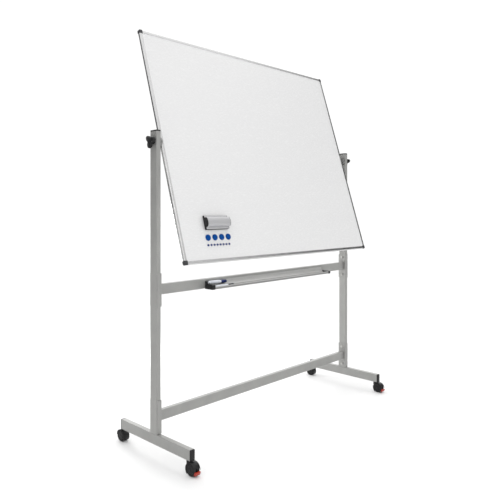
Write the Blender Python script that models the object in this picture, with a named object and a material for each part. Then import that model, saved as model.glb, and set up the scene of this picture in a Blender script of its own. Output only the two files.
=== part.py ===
"""Mobile revolving whiteboard on a stand with four twin-wheel castors.

The board hangs between two posts on a pair of pivots and turns right round. Clamp knobs hold it at
any tilt. +X runs along the board, -Y is the side that is written on, +Z is up, and the floor is z = 0.
"""
import math

import bmesh
import bpy
from mathutils import Matrix

# ---------------------------------------------------------------- driving dimensions, in metres
GAP = 0.0003                    # play between two pieces that touch

BOARD_WIDTH = 1.500
BOARD_HEIGHT = 1.200
BOARD_TILT = math.radians(17.25)
PIVOT_HEIGHT = 1.4835

TUBE_BROAD = 0.050              # every tube of the stand is 50 x 25 with a 1.5 wall
TUBE_SLIM = 0.025
TUBE_WALL = 0.0015
TUBE_ROUND = 0.003
POST_SPAN = 1.576               # over the outer faces of both posts
POST_TOP = 1.5315
FOOT_LENGTH = 0.540             # over both end caps
FOOT_TOP = 0.1105
UPPER_BAR_TOP = 0.8115
LOWER_BAR_TOP = 0.2155

BRACKET_HEIGHT = 0.156
BRACKET_SHEET = 0.003
BOLT_SPREAD = 0.057             # from the middle of a crossbar to the bolt above and below it
BOLT_RADIUS = 0.004
BOLT_HEAD_FLATS = 0.0065

RAIL_WIDTH = 0.016
RAIL_DEPTH = 0.016
RAIL_ROUND = 0.005
SLOT_FLOOR = 0.006              # from the outer edge of a rail to the bottom of its slot
SLOT_HALF = 0.0063
CORNER_LEG = 0.020
CORNER_DEPTH = 0.017
CORNER_ROUND = 0.007
PANEL_INSET = 0.0065
CORE_HALF = 0.0052
SHEET_THICKNESS = 0.0005

DISC_RADIUS = 0.024
STUD_RADIUS = 0.006
STUD_HOLE_RADIUS = 0.0066
STUD_IN_KNOB = 0.016
KNOB_HUB_RADIUS = 0.014
KNOB_HUB_LENGTH = 0.010
KNOB_MEAN_RADIUS = 0.0245
KNOB_LOBE = 0.0095
KNOB_HEAD = 0.0148

TRAY_LEFT = -0.475
TRAY_RIGHT = 0.530
TRAY_BOTTOM = 0.7605
TRAY_HEIGHT = 0.038
TRAY_DEPTH = 0.057
TRAY_LIP = 0.014
TRAY_SHEET = 0.0016
TRAY_SWEEP = 0.034              # radius of the trough's curve from the back to the floor
TRAY_END_WIDTH = 0.020
TRAY_END_BACK = 0.008
TRAY_END_TOE = 0.024

MARKER_RADIUS = 0.0085
MARKER_LENGTH = 0.128

WHEEL_RADIUS = 0.028
WHEEL_INNER = 0.0036
WHEEL_OUTER = 0.0175
WHEEL_SIDES = 40
AXLE_RADIUS = 0.003
CASTOR_TRAIL = 0.024            # from the stem to the axle
STEM_INSET = 0.025              # from the end of a foot to the castor's stem
STEM_RADIUS = 0.005
BOSS_RADIUS = 0.0125
HOOD_RADIUS = 0.0308
HOOD_SKIRT = -48                # degrees below the axle that the hood reaches on the stem side
HOOD_BORE = 0.0287
HOOD_HALF_WIDTH = 0.0175
WEB_HALF = 0.003
PEDAL_RADIUS = 0.037
PEDAL_HALF_WIDTH = 0.015
PEDAL_TOP = math.radians(189)
PEDAL_TIP = math.radians(213)
PEDAL_ROOM = 0.008              # how far above the axle the hood is open for the pedal

ERASER_AT = (-0.510, -0.405)
ERASER_LENGTH = 0.152
ERASER_HEIGHT = 0.072
ERASER_DEPTH = 0.034
MAGNETS_AT = (-0.577, -0.478)
MAGNET_PITCH = 0.0445
MAGNET_RADIUS = 0.0155
MAGNET_DEPTH = 0.007

# ---------------------------------------------------------------- sizes that follow
AXLE_HEIGHT = WHEEL_RADIUS * math.cos(math.pi / WHEEL_SIDES)    # a flat of the wheel meets the floor
FOOT_BOTTOM = FOOT_TOP - TUBE_BROAD
POST_X = (POST_SPAN - TUBE_SLIM) / 2
POST_INNER = POST_SPAN / 2 - TUBE_SLIM
STAND_Y = (PEDAL_RADIUS - HOOD_RADIUS) / 2      # the pedals reach further forward than the rear hoods
FACE_Y = -(CORE_HALF + GAP + SHEET_THICKNESS)   # the writing face, from the middle of the board


# ---------------------------------------------------------------- materials
def make_material(name, colour, roughness, metallic=0.0):
    material = bpy.data.materials.new(name)
    material.use_nodes = True
    shader = material.node_tree.nodes["Principled BSDF"]
    shader.inputs["Base Color"].default_value = (*colour, 1.0)
    shader.inputs["Roughness"].default_value = roughness
    shader.inputs["Metallic"].default_value = metallic
    return material


def powder_coat(name):
    return make_material(name, (0.42, 0.42, 0.41), 0.45, 0.3)


def anodised(name):
    return make_material(name, (0.52, 0.52, 0.53), 0.35, 0.9)


def black_plastic(name):
    return make_material(name, (0.02, 0.02, 0.021), 0.45)


def grey_plastic(name):
    return make_material(name, (0.07, 0.07, 0.075), 0.5)


def enamel(name):
    return make_material(name, (0.86, 0.87, 0.87), 0.15)


def fibre_core(name):
    return make_material(name, (0.45, 0.35, 0.24), 0.9)


def zinc(name):
    return make_material(name, (0.55, 0.55, 0.53), 0.35, 1.0)


def rubber(name):
    return make_material(name, (0.025, 0.025, 0.026), 0.7)


def red_plastic(name):
    return make_material(name, (0.48, 0.035, 0.02), 0.4)


def white_plastic(name):
    return make_material(name, (0.78, 0.80, 0.83), 0.35)


def felt(name):
    return make_material(name, (0.03, 0.03, 0.032), 0.95)


def blue_plastic(name):
    return make_material(name, (0.005, 0.06, 0.30), 0.3)


# ---------------------------------------------------------------- outlines and solids
def arc(centre, radius, start, end, steps):
    """Points of an arc from start to end, in degrees."""
    points = []
    for step in range(steps + 1):
        angle = math.radians(start + (end - start) * step / steps)
        points.append((centre[0] + radius * math.cos(angle), centre[1] + radius * math.sin(angle)))
    return points


def circle(radius, sides, turn=0.0):
    step = 2 * math.pi / sides
    return [(radius * math.cos(turn + i * step), radius * math.sin(turn + i * step)) for i in range(sides)]


def rounded_rectangle(width, height, radius, steps=4):
    points = []
    for quarter, (side, end) in enumerate(((1, 1), (-1, 1), (-1, -1), (1, -1))):
        centre = (side * (width / 2 - radius), end * (height / 2 - radius))
        points += arc(centre, radius, 90 * quarter, 90 * quarter + 90, steps)
    return points


def across_x(outline, x):
    return [(x, a, b) for a, b in outline]


def across_y(outline, y):
    return [(a, y, b) for a, b in outline]


def across_z(outline, z):
    return [(a, b, z) for a, b in outline]


def loft(rings, cyclic=False):
    """A closed mesh through rings of equal length; cyclic joins the last ring to the first."""
    mesh = bmesh.new()
    rows = [[mesh.verts.new(point) for point in ring] for ring in rings]
    pairs = list(zip(rows, rows[1:]))
    if cyclic:
        pairs.append((rows[-1], rows[0]))
    else:
        mesh.faces.new(list(reversed(rows[0])))
        mesh.faces.new(rows[-1])
    count = len(rows[0])
    for low, high in pairs:
        for i in range(count):
            j = (i + 1) % count
            mesh.faces.new((low[i], low[j], high[j], high[i]))
    bmesh.ops.recalc_face_normals(mesh, faces=mesh.faces)
    return mesh


def turned(profile, sides, turn=0.0):
    """A solid turned about X from (x, radius) points; a radius of zero closes an end."""
    mesh = bmesh.new()
    rows = []
    for x, radius in profile:
        if radius == 0.0:
            rows.append([mesh.verts.new((x, 0.0, 0.0))])
        else:
            rows.append([mesh.verts.new((x, a, b)) for a, b in circle(radius, sides, turn)])
    for low, high in zip(rows, rows[1:]):
        for i in range(sides):
            j = (i + 1) % sides
            corners = [low[i % len(low)], low[j % len(low)], high[j % len(high)], high[i % len(high)]]
            mesh.faces.new(list(dict.fromkeys(corners)))
    bmesh.ops.recalc_face_normals(mesh, faces=mesh.faces)
    return mesh


def block(size, centre=(0.0, 0.0, 0.0)):
    mesh = bmesh.new()
    bmesh.ops.create_cube(mesh, size=1.0)
    bmesh.ops.scale(mesh, vec=size, verts=mesh.verts)
    bmesh.ops.translate(mesh, vec=centre, verts=mesh.verts)
    return mesh


def tube(across, length, width, height):
    """An open-ended rectangular tube; across places an outline at a distance along its length."""
    outer = rounded_rectangle(width, height, TUBE_ROUND)
    inner = rounded_rectangle(width - 2 * TUBE_WALL, height - 2 * TUBE_WALL, TUBE_ROUND - TUBE_WALL)
    ends = (-length / 2, length / 2)
    return loft([across(outer, ends[0]), across(outer, ends[1]), across(inner, ends[1]),
                 across(inner, ends[0])], cyclic=True)


def plug(across, width, height, lid, reach):
    """A push-in end cap: a lid over the tube's end and a plug inside it, facing the + direction."""
    inner = (width - 2 * TUBE_WALL - 2 * GAP, height - 2 * TUBE_WALL - 2 * GAP)
    stem = rounded_rectangle(inner[0], inner[1], TUBE_ROUND - TUBE_WALL)
    rim = rounded_rectangle(width, height, TUBE_ROUND)
    crown = rounded_rectangle(width - 0.003, height - 0.003, TUBE_ROUND - 0.001)
    return loft([across(stem, -reach), across(stem, GAP), across(rim, GAP), across(rim, lid - 0.0016),
                 across(crown, lid)])


def mesh_data(name, mesh, sharp=math.radians(35)):
    data = bpy.data.meshes.new(name)
    mesh.to_mesh(data)
    mesh.free()
    data.shade_smooth()
    data.set_sharp_from_angle(angle=sharp)
    return data


def place(name, data, material, parent, at=(0.0, 0.0, 0.0), turn=(0.0, 0.0, 0.0)):
    """Add a named piece with its own material."""
    if isinstance(data, bmesh.types.BMesh):
        data = mesh_data(name, data)
    piece = bpy.data.objects.new(name, data)
    bpy.context.scene.collection.objects.link(piece)
    piece.parent = parent
    piece.location = at
    piece.rotation_euler = turn
    if not data.materials:
        data.materials.append(None)
    piece.material_slots[0].link = "OBJECT"
    piece.material_slots[0].material = material(name)
    return piece


def empty(name, parent=None, at=(0.0, 0.0, 0.0), turn=(0.0, 0.0, 0.0)):
    mark = bpy.data.objects.new(name, None)
    bpy.context.scene.collection.objects.link(mark)
    mark.parent = parent
    mark.location = at
    mark.rotation_euler = turn
    return mark


def combined(name, base, steps):
    """The mesh of base after a row of EXACT booleans, each an (operation, mesh) pair."""
    owner = bpy.data.objects.new(name, mesh_data(name, base))
    bpy.context.scene.collection.objects.link(owner)
    tools = [owner]
    for number, (operation, mesh) in enumerate(steps):
        tool = bpy.data.objects.new(f"{name}_tool_{number}", mesh_data(f"{name}_tool_{number}", mesh))
        bpy.context.scene.collection.objects.link(tool)
        modifier = owner.modifiers.new(f"step_{number}", "BOOLEAN")
        modifier.operation = operation
        modifier.solver = "EXACT"
        modifier.object = tool
        tools.append(tool)
    bpy.context.view_layer.update()
    result = bpy.data.meshes.new_from_object(owner.evaluated_get(bpy.context.evaluated_depsgraph_get()))
    for tool in tools:
        bpy.data.objects.remove(tool)
    result.name = name
    result.shade_smooth()
    result.set_sharp_from_angle(angle=math.radians(35))
    return result


def bore(axis, radius, low, high, at, sides=16):
    """A round cutter along X or Z, between two distances on that axis."""
    cutter = turned([(low, 0.0), (low, radius), (high, radius), (high, 0.0)], sides, math.pi / sides)
    if axis == "Z":
        bmesh.ops.rotate(cutter, matrix=Matrix.Rotation(-math.pi / 2, 3, "Y"), verts=cutter.verts)
    bmesh.ops.translate(cutter, vec=at, verts=cutter.verts)
    return cutter


# ---------------------------------------------------------------- stand
def make_posts(stand):
    """Upright tubes; the inner wall is drilled for the bracket bolts and both walls for the pivot."""
    length = POST_TOP - FOOT_TOP - GAP
    middle = (POST_TOP + FOOT_TOP + GAP) / 2
    cuts = [("DIFFERENCE", bore("X", STUD_HOLE_RADIUS, -0.02, 0.02, (0, 0, PIVOT_HEIGHT - middle)))]
    for bar_top in (UPPER_BAR_TOP, LOWER_BAR_TOP):
        for side in (-1, 1):
            height = bar_top - TUBE_BROAD / 2 + side * BOLT_SPREAD - middle
            cuts.append(("DIFFERENCE", bore("X", BOLT_RADIUS + GAP, 0.005, 0.02, (0, 0, height))))
    data = combined("post", tube(across_z, length, TUBE_SLIM, TUBE_BROAD), cuts)
    for name, side in (("left", -1), ("right", 1)):
        turn = (0, 0, 0 if side < 0 else math.pi)
        place(f"post_{name}", data, powder_coat, stand, (side * POST_X, 0, middle), turn)
        cap = plug(across_z, TUBE_SLIM, TUBE_BROAD, 0.007, 0.014)
        place(f"post_cap_{name}", cap, black_plastic, stand, (side * POST_X, 0, POST_TOP))


def make_feet(stand):
    """Floor tubes with a hole near each end for a castor stem, and a cap in each end."""
    lid = 0.008
    length = FOOT_LENGTH - 2 * lid
    height = FOOT_TOP - TUBE_BROAD / 2
    reach = FOOT_LENGTH / 2 - STEM_INSET
    cuts = [("DIFFERENCE", bore("Z", STEM_RADIUS + GAP, -0.04, -0.015, (0, end * reach, 0)))
            for end in (-1, 1)]
    data = combined("foot", tube(across_y, length, TUBE_SLIM, TUBE_BROAD), cuts)
    for name, side in (("left", -1), ("right", 1)):
        place(f"foot_{name}", data, powder_coat, stand, (side * POST_X, 0, height))
        for where, end in (("front", -1), ("rear", 1)):
            cap = plug(across_y, TUBE_SLIM, TUBE_BROAD, lid, 0.009)
            turn = (0, 0, 0 if end > 0 else math.pi)
            at = (side * POST_X, end * length / 2, height)
            place(f"foot_cap_{where}_{name}", cap, black_plastic, stand, at, turn)


def bracket_mesh():
    """A U of sheet steel that wraps the post, open towards the outside, drilled for two bolts."""
    web = TUBE_SLIM / 2 + GAP
    inside = TUBE_BROAD / 2 + GAP
    outside = inside + BRACKET_SHEET
    tip = web - 0.0225
    outline = [(tip, outside), (tip, inside), (web, inside), (web, -inside), (tip, -inside), (tip, -outside)]
    outline += arc((web, -inside), BRACKET_SHEET, -90, 0, 4) + arc((web, inside), BRACKET_SHEET, 0, 90, 4)
    half = BRACKET_HEIGHT / 2
    body = loft([across_z(outline, -half), across_z(outline, half)])
    cuts = [("DIFFERENCE", bore("X", BOLT_RADIUS + GAP, 0.005, 0.025, (0, 0, side * BOLT_SPREAD)))
            for side in (-1, 1)]
    return combined("bracket", body, cuts)


def bolt_mesh():
    """A flanged hexagon bolt along X, its head on the + side of the bracket's web."""
    sides = 24
    seat = TUBE_SLIM / 2 + GAP + BRACKET_SHEET + GAP
    hexagon = []
    for i in range(sides):
        angle = 2 * math.pi * i / sides
        radius = BOLT_HEAD_FLATS / math.cos((angle % (math.pi / 3)) - math.pi / 6)
        hexagon.append((radius * math.cos(angle), radius * math.sin(angle)))
    shank = circle(BOLT_RADIUS, sides)
    flange = circle(0.0085, sides)
    crown = [(a * 0.85, b * 0.85) for a, b in hexagon]
    return loft([across_x(shank, seat - 0.016), across_x(shank, seat), across_x(flange, seat),
                 across_x(flange, seat + 0.0012), across_x(hexagon, seat + 0.0014),
                 across_x(hexagon, seat + 0.0052), across_x(crown, seat + 0.006)])


def make_crossbars(stand):
    """Two crossbars, each held between a pair of brackets that are bolted to the posts."""
    bracket = bracket_mesh()
    bolt = mesh_data("bolt", bolt_mesh())
    length = 2 * (POST_INNER - 2 * GAP - BRACKET_SHEET)
    for level, bar_top in (("upper", UPPER_BAR_TOP), ("lower", LOWER_BAR_TOP)):
        height = bar_top - TUBE_BROAD / 2
        bar = tube(across_x, length, TUBE_SLIM, TUBE_BROAD)
        place(f"{level}_crossbar", bar, powder_coat, stand, (0, 0, height))
        for name, side in (("left", -1), ("right", 1)):
            turn = (0, 0, 0 if side < 0 else math.pi)
            at = (side * POST_X, 0, height)
            place(f"{level}_bracket_{name}", bracket, powder_coat, stand, at, turn)
            for where, end in (("top", 1), ("bottom", -1)):
                spot = (side * POST_X, 0, height + end * BOLT_SPREAD)
                place(f"{level}_bolt_{name}_{where}", bolt, zinc, stand, spot, turn)


# ---------------------------------------------------------------- pen tray and markers
def tray_outline():
    """The trough's section: y runs forward from the crossbar's face, as a negative number."""
    back = -GAP
    sheet = TRAY_SHEET
    centre = (-(TRAY_SWEEP + sheet) - GAP, TRAY_SWEEP + sheet)
    top = TRAY_HEIGHT
    front = -TRAY_DEPTH
    inner = [(back - sheet, top)] + arc(centre, TRAY_SWEEP, 0, -90, 10)
    inner += [(front + sheet + 0.002, sheet), (front + sheet, sheet + 0.002), (front + sheet, TRAY_LIP)]
    outer = [(front, TRAY_LIP)] + arc((front + 0.003, 0.003), 0.003, 180, 270, 4)
    outer += arc(centre, TRAY_SWEEP + sheet, -90, 0, 10) + [(back, top)]
    return inner + outer


def tray_end_outline(back_height):
    """An end piece's section: a back against the crossbar and a toe as deep as the tray."""
    front = -TRAY_DEPTH - 0.001
    outline = [(-GAP, -0.001), (-GAP, back_height)]
    outline += arc((-TRAY_END_BACK + 0.002, back_height - 0.002), 0.002, 90, 180, 3)
    if back_height > TRAY_END_TOE:
        outline += arc((-TRAY_END_BACK - 0.008, TRAY_END_TOE + 0.008), 0.008, 0, -90, 5)
        toe = TRAY_END_TOE
    else:
        toe = TRAY_LIP + 0.0015
    outline += arc((front + 0.008, toe - 0.008), 0.008, 90, 180, 5)
    outline += arc((front + 0.003, 0.002), 0.003, 180, 270, 3)
    return outline


def make_tray(stand):
    """A pen tray on the front of the upper crossbar, closed by a plastic piece at each end.

    The left end piece has a tall back and the right one is low."""
    at = (0, -TUBE_SLIM / 2, TRAY_BOTTOM)
    low = TRAY_LEFT + TRAY_END_WIDTH + GAP
    high = TRAY_RIGHT - TRAY_END_WIDTH - GAP
    section = tray_outline()
    place("pen_tray", loft([across_x(section, low), across_x(section, high)]), anodised, stand, at)
    ends = (("left", TRAY_LEFT, 1, TRAY_HEIGHT + 0.0005), ("right", TRAY_RIGHT, -1, TRAY_LIP + 0.003))
    for name, edge, side, back_height in ends:
        boot = tray_end_outline(back_height)
        solid = loft([across_x(boot, edge), across_x(boot, edge + side * TRAY_END_WIDTH)])
        place(f"tray_end_{name}", solid, black_plastic, stand, at)


def marker_mesh():
    """A capped board marker along X: the plug end at -, the cap from 0.028 to the + end."""
    half = MARKER_LENGTH / 2
    r = MARKER_RADIUS
    return turned([(-half, 0.0), (-half, r * 0.7), (-half + 0.002, r * 0.82), (-half + 0.012, r * 0.82),
                   (-half + 0.012, r * 0.94), (0.028, r * 0.94), (0.028, r), (half - 0.003, r * 0.96),
                   (half, r * 0.75), (half, 0.0)], 16)


def lay_marker(name, marker, left, right, stand):
    """Lays a marker with its ends at two points, the capped end to the right."""
    middle = tuple((a + b) / 2 for a, b in zip(left, right))
    run = [b - a for a, b in zip(left, right)]
    turn = (0, -math.atan2(run[2], math.hypot(run[0], run[1])), math.atan2(run[1], run[0]))
    place(name, marker, white_plastic, stand, middle, turn)


def make_markers(stand):
    """One marker lies in the trough behind its lip, the other on the left end piece and the sweep."""
    marker = mesh_data("marker", marker_mesh())
    floor = TRAY_BOTTOM + TRAY_SHEET + MARKER_RADIUS
    front = -TUBE_SLIM / 2
    lay_marker("marker_black", marker, (-0.4445, front - 0.0440, floor + 0.0006),
               (-0.3165, front - 0.0458, floor + 0.0006), stand)
    lay_marker("marker_blue", marker, (-0.466, front - 0.0175, floor + 0.0231),
               (-0.339, front - 0.0120, floor + 0.0187), stand)


# ---------------------------------------------------------------- board
def make_panel(board):
    """A fibre core with an enamelled steel sheet on both sides."""
    width = BOARD_WIDTH - 2 * PANEL_INSET
    height = BOARD_HEIGHT - 2 * PANEL_INSET
    place("board_core", block((width, 2 * CORE_HALF, height)), fibre_core, board)
    offset = CORE_HALF + GAP + SHEET_THICKNESS / 2
    place("front_sheet", block((width, SHEET_THICKNESS, height)), enamel, board, (0, -offset, 0))
    place("back_sheet", block((width, SHEET_THICKNESS, height)), enamel, board, (0, offset, 0))


def rail_outline():
    """The edge rail's section: the outer edge at b = 0 and a slot for the panel at the inner edge."""
    half = RAIL_DEPTH / 2
    outline = [(-half, RAIL_WIDTH)] + arc((-half + RAIL_ROUND, RAIL_ROUND), RAIL_ROUND, 180, 270, 5)
    outline += arc((half - RAIL_ROUND, RAIL_ROUND), RAIL_ROUND, 270, 360, 5) + [(half, RAIL_WIDTH)]
    outline += [(SLOT_HALF, RAIL_WIDTH), (SLOT_HALF, SLOT_FLOOR), (-SLOT_HALF, SLOT_FLOOR)]
    return outline + [(-SLOT_HALF, RAIL_WIDTH)]


def make_rails(board):
    """Four edge rails, which stop short of the corners."""
    outline = rail_outline()
    edges = (("bottom", BOARD_WIDTH, BOARD_HEIGHT, 0), ("left", BOARD_HEIGHT, BOARD_WIDTH, 90),
             ("top", BOARD_WIDTH, BOARD_HEIGHT, 180), ("right", BOARD_HEIGHT, BOARD_WIDTH, 270))
    for name, length, reach, angle in edges:
        half = length / 2 - CORNER_LEG - GAP
        low = [(a, b - reach / 2) for a, b in outline]
        rail = loft([across_x(low, -half), across_x(low, half)])
        place(f"frame_rail_{name}", rail, anodised, board, turn=(0, math.radians(angle), 0))


def corner_mesh():
    """A moulded corner for the lower left of the board, with a slot for the panel's corner."""
    half = CORNER_DEPTH / 2
    outline = arc((CORNER_ROUND, CORNER_ROUND), CORNER_ROUND, 180, 270, 8)
    outline += [(CORNER_LEG, 0.0), (CORNER_LEG, CORNER_LEG), (0.0, CORNER_LEG)]
    slim = [(a + (0.001 if a < 0.013 else 0.0), b + (0.001 if b < 0.013 else 0.0)) for a, b in outline]
    body = loft([across_y(slim, -half), across_y(outline, -half + 0.001), across_y(outline, half - 0.001),
                 across_y(slim, half)])
    middle = SLOT_FLOOR + CORNER_LEG / 2
    slot = block((CORNER_LEG, 2 * SLOT_HALF, CORNER_LEG), (middle, 0, middle))
    return combined("corner", body, [("DIFFERENCE", slot)])


def make_corners(board):
    """Dark plastic corners that join the rails."""
    data = corner_mesh()
    data.transform(Matrix.Translation((-BOARD_WIDTH / 2, 0, -BOARD_HEIGHT / 2)))
    flipped = corner_mesh()
    flipped.transform(Matrix.Rotation(math.pi / 2, 4, "Y"))
    flipped.transform(Matrix.Translation((-BOARD_WIDTH / 2, 0, BOARD_HEIGHT / 2)))
    place("corner_bottom_left", data, grey_plastic, board)
    place("corner_top_right", data, grey_plastic, board, turn=(0, math.pi, 0))
    place("corner_top_left", flipped, grey_plastic, board)
    place("corner_bottom_right", flipped, grey_plastic, board, turn=(0, math.pi, 0))


def make_pivots(board):
    """A spacer disc on the side of the board, with a stud that passes through the post."""
    start = BOARD_WIDTH / 2 + GAP
    end = POST_INNER - GAP
    tip = POST_SPAN / 2 + GAP + STUD_IN_KNOB
    profile = [(start, 0.0), (start, DISC_RADIUS - 0.001), (start + 0.001, DISC_RADIUS),
               (end - 0.001, DISC_RADIUS), (end, DISC_RADIUS - 0.001), (end, STUD_RADIUS),
               (tip - 0.001, STUD_RADIUS), (tip, STUD_RADIUS - 0.001), (tip, 0.0)]
    pivot = mesh_data("pivot", turned(profile, 32))
    place("pivot_right", pivot, zinc, board)
    place("pivot_left", pivot, zinc, board, turn=(0, 0, math.pi))


def knob_mesh():
    """A three-lobed knob with a hub and a blind bore, outwards along X from the post's face."""
    sides = 48
    rosette = []
    for i in range(sides):
        angle = 2 * math.pi * i / sides
        radius = KNOB_MEAN_RADIUS + KNOB_LOBE * math.cos(3 * angle)
        rosette.append((radius * math.cos(angle), radius * math.sin(angle)))

    def lobes(scale, x):
        return across_x([(a * scale, b * scale) for a, b in rosette], x)

    stud_bore = circle(STUD_RADIUS + GAP, sides)
    hub = circle(KNOB_HUB_RADIUS, sides)
    head = KNOB_HUB_LENGTH
    top = head + KNOB_HEAD
    return loft([across_x(stud_bore, STUD_IN_KNOB + GAP), across_x(stud_bore, 0.0), across_x(hub, 0.0),
                 across_x(hub, head), lobes(0.90, head), lobes(0.98, head + 0.0015),
                 lobes(1.0, head + 0.004), lobes(1.0, top - 0.004), lobes(0.97, top - 0.0015),
                 lobes(0.88, top)])


def make_knobs(pivot):
    """Clamp knobs outside the posts, one lobe of each pointing forward."""
    knob = mesh_data("knob", knob_mesh())
    face = POST_SPAN / 2 + GAP
    place("clamp_knob_right", knob, black_plastic, pivot, (face, 0, 0), (math.pi, 0, 0))
    place("clamp_knob_left", knob, black_plastic, pivot, (-face, 0, 0), (0, 0, math.pi))


# ---------------------------------------------------------------- on the board's face
def eraser_outline():
    """The cover's section: a from the board's face forward (negative), b up the board."""
    base = ERASER_HEIGHT / 2
    grip = 0.024
    neck = 0.0215
    front = -ERASER_DEPTH
    lower = [(-0.0093, -base), (-0.0125, -base), (-0.0135, -base + 0.001), (-0.0135, -neck), (-0.0175, -neck)]
    lower += [(-0.0185, -grip)] + arc((front + 0.006, -grip + 0.006), 0.006, 270, 180, 4)
    upper = [(a, -b) for a, b in reversed(lower)]
    return lower + upper


def make_eraser(board):
    """A felt pad under an extruded cover, held to the face by magnets inside it."""
    at = (ERASER_AT[0], FACE_Y - GAP, ERASER_AT[1])
    half = ERASER_LENGTH / 2
    section = eraser_outline()
    place("eraser_cover", loft([across_x(section, -half), across_x(section, half)]), anodised, board, at)
    pad = block((ERASER_LENGTH - 0.002, 0.009, ERASER_HEIGHT - 0.002), (0, -0.0045, 0))
    place("eraser_pad", pad, felt, board, at)


def make_magnets(board):
    """Four large round magnets in a row under the eraser."""
    r = MAGNET_RADIUS
    shape = turned([(0.0, 0.0), (0.0, r - 0.0005), (0.0005, r), (MAGNET_DEPTH - 0.002, r * 0.97),
                    (MAGNET_DEPTH, r * 0.85), (MAGNET_DEPTH, 0.0)], 24)
    bmesh.ops.rotate(shape, matrix=Matrix.Rotation(-math.pi / 2, 3, "Z"), verts=shape.verts)
    magnet = mesh_data("magnet", shape)
    for number in range(4):
        at = (MAGNETS_AT[0] + number * MAGNET_PITCH, FACE_Y - GAP, MAGNETS_AT[1])
        place(f"magnet_{number + 1}", magnet, blue_plastic, board, at)


# ---------------------------------------------------------------- castors
def housing_mesh(braked):
    """Hood, web, stem boss and stem in one piece, about the stem's axis; it trails towards -Y."""
    top = FOOT_BOTTOM - GAP

    def about_axle(outline, x):
        return [(x, a - CASTOR_TRAIL, b + AXLE_HEIGHT) for a, b in outline]

    hood = arc((0, 0), HOOD_RADIUS, HOOD_SKIRT, 180, 24) + [(0.0, 0.0)]
    body = loft([about_axle(hood, -HOOD_HALF_WIDTH), about_axle(hood, HOOD_HALF_WIDTH)])
    hub = circle(0.0065, 16)
    steps = [("UNION", bore("Z", BOSS_RADIUS, 0.044, top, (0, 0, 0), 24)),
             ("UNION", loft([about_axle(hub, -WEB_HALF), about_axle(hub, WEB_HALF)])),
             ("UNION", bore("Z", STEM_RADIUS, top - 0.01, FOOT_BOTTOM + 0.015, (0, 0, 0), 16))]
    axle = (0, -CASTOR_TRAIL, AXLE_HEIGHT)
    for side in (-1, 1):
        low, high = sorted((side * WEB_HALF, side * 0.03))
        steps.append(("DIFFERENCE", bore("X", HOOD_BORE, low, high, axle, WHEEL_SIDES)))
    steps.append(("DIFFERENCE", bore("X", AXLE_RADIUS + GAP, -0.01, 0.01, axle, 16)))
    if braked:
        room = (2 * PEDAL_HALF_WIDTH + 0.001, 0.033, 2 * PEDAL_ROOM)
        steps.append(("DIFFERENCE", block(room, (0, -CASTOR_TRAIL - 0.0066 - room[1] / 2, AXLE_HEIGHT))))
    return combined("castor_housing", body, steps)


def wheel_mesh():
    """Two wheels on their axle, about X."""
    r = WHEEL_RADIUS
    half = [(WHEEL_INNER, AXLE_RADIUS), (WHEEL_INNER, r - 0.0015), (WHEEL_INNER + 0.0015, r),
            (WHEEL_OUTER - 0.003, r), (WHEEL_OUTER, r - 0.003), (WHEEL_OUTER, r - 0.006),
            (WHEEL_OUTER - 0.0015, r - 0.007), (WHEEL_OUTER - 0.0015, 0.0)]
    profile = [(-x, radius) for x, radius in reversed(half)] + half
    return turned(profile, WHEEL_SIDES, math.pi / WHEEL_SIDES)


def pedal_mesh():
    """A brake pedal that follows the wheels' rim behind the axle, with a tongue between the wheels."""
    def arc_piece(inner, outer, half_width, start, end, steps):
        outline = arc((0, 0), outer, math.degrees(start), math.degrees(end), steps)
        outline += arc((0, 0), inner, math.degrees(end), math.degrees(start), steps)
        return loft([across_x(outline, -half_width), across_x(outline, half_width)])

    shoe = arc_piece(HOOD_BORE, PEDAL_RADIUS, PEDAL_HALF_WIDTH, PEDAL_TOP, PEDAL_TIP, 6)
    tongue = arc_piece(0.0065 + GAP, PEDAL_RADIUS - 0.002, 0.0025, math.radians(203), math.radians(212), 3)
    return combined("brake_pedal", shoe, [("UNION", tongue)])


def make_castors(stand):
    """Four castors that trail outwards; the front two have a brake pedal."""
    housings = {-1: housing_mesh(True), 1: housing_mesh(False)}
    wheels = mesh_data("wheels", wheel_mesh())
    pedal = pedal_mesh()
    reach = FOOT_LENGTH / 2 - STEM_INSET
    for where, end in (("front", -1), ("rear", 1)):
        for name, side in (("left", -1), ("right", 1)):
            turn = (0, 0, 0 if end < 0 else math.pi)
            stem = empty(f"castor_stem_{where}_{name}", stand, (side * POST_X, end * reach, 0), turn)
            place(f"castor_housing_{where}_{name}", housings[end], black_plastic, stem)
            axle = (0, -CASTOR_TRAIL, AXLE_HEIGHT)
            place(f"castor_wheels_{where}_{name}", wheels, rubber, stem, axle)
            if end < 0:
                place(f"brake_pedal_{name}", pedal, red_plastic, stem, axle)


# ---------------------------------------------------------------- build
def main():
    for thing in list(bpy.data.objects):
        bpy.data.objects.remove(thing)
    stand = empty("stand_middle", at=(0, STAND_Y, 0))
    pivot = empty("board_pivot", stand, (0, 0, PIVOT_HEIGHT), (-BOARD_TILT, 0, 0))
    make_posts(stand)
    make_feet(stand)
    make_crossbars(stand)
    make_tray(stand)
    make_markers(stand)
    make_panel(pivot)
    make_rails(pivot)
    make_corners(pivot)
    make_pivots(pivot)
    make_knobs(pivot)
    make_eraser(pivot)
    make_magnets(pivot)
    make_castors(stand)


main()
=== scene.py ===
"""The looks of the turning whiteboard on its stand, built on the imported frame."""
import math

import bmesh
import bpy
from mathutils import Matrix, Vector


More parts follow.
